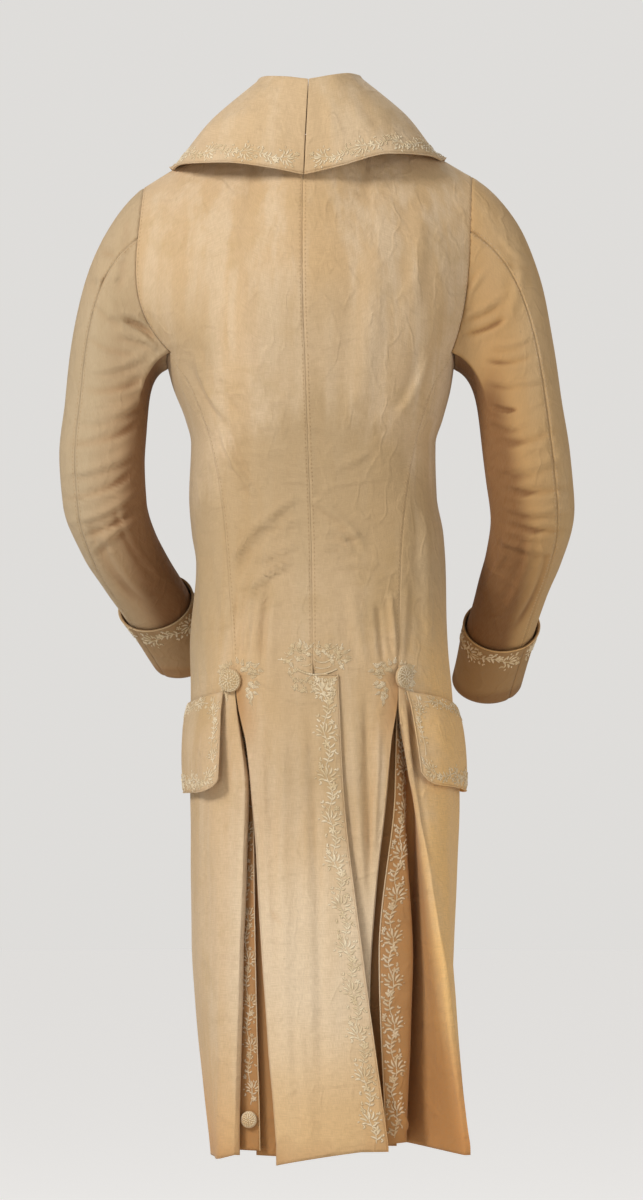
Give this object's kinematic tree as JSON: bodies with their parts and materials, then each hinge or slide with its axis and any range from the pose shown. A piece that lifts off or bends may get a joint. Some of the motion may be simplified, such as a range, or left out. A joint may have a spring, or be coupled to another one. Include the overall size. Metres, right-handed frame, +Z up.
{
  "type": "frock coat",
  "caption": "Long tan cotton frock coat with a wide falling collar, cut-away fronts and embroidered, pleated skirts.",
  "frame": {"origin": "where the wearer's shoulders carry the coat, on its middle plane, level with the neck points", "axes": "+Z up, +Y to the wearer's front, +X to the wearer's right"},
  "size_m": [0.5417, 0.3168, 1.1382],
  "materials": {
    "cloth": "matte",
    "trim_cloth": "matte",
    "button": "matte"
  },
  "bodies": {
    "root": {"back_left": "cloth", "front_left": "cloth", "sleeve_top_left": "cloth", "sleeve_under_left": "cloth", "cuff_left": "trim_cloth", "collar_left": "trim_cloth", "pocket_flap_left": "trim_cloth", "hip_button_left": "button", "back_right": "cloth", "front_right": "cloth", "sleeve_top_right": "cloth", "sleeve_under_right": "cloth", "cuff_right": "trim_cloth", "collar_right": "trim_cloth", "pocket_flap_right": "trim_cloth", "hip_button_right": "button", "pleat_button_left": "button", "front_button_1": "button", "front_button_2": "button", "front_button_3": "button", "front_button_4": "button", "front_button_5": "button", "front_button_6": "button"}
  },
  "joints": []
}
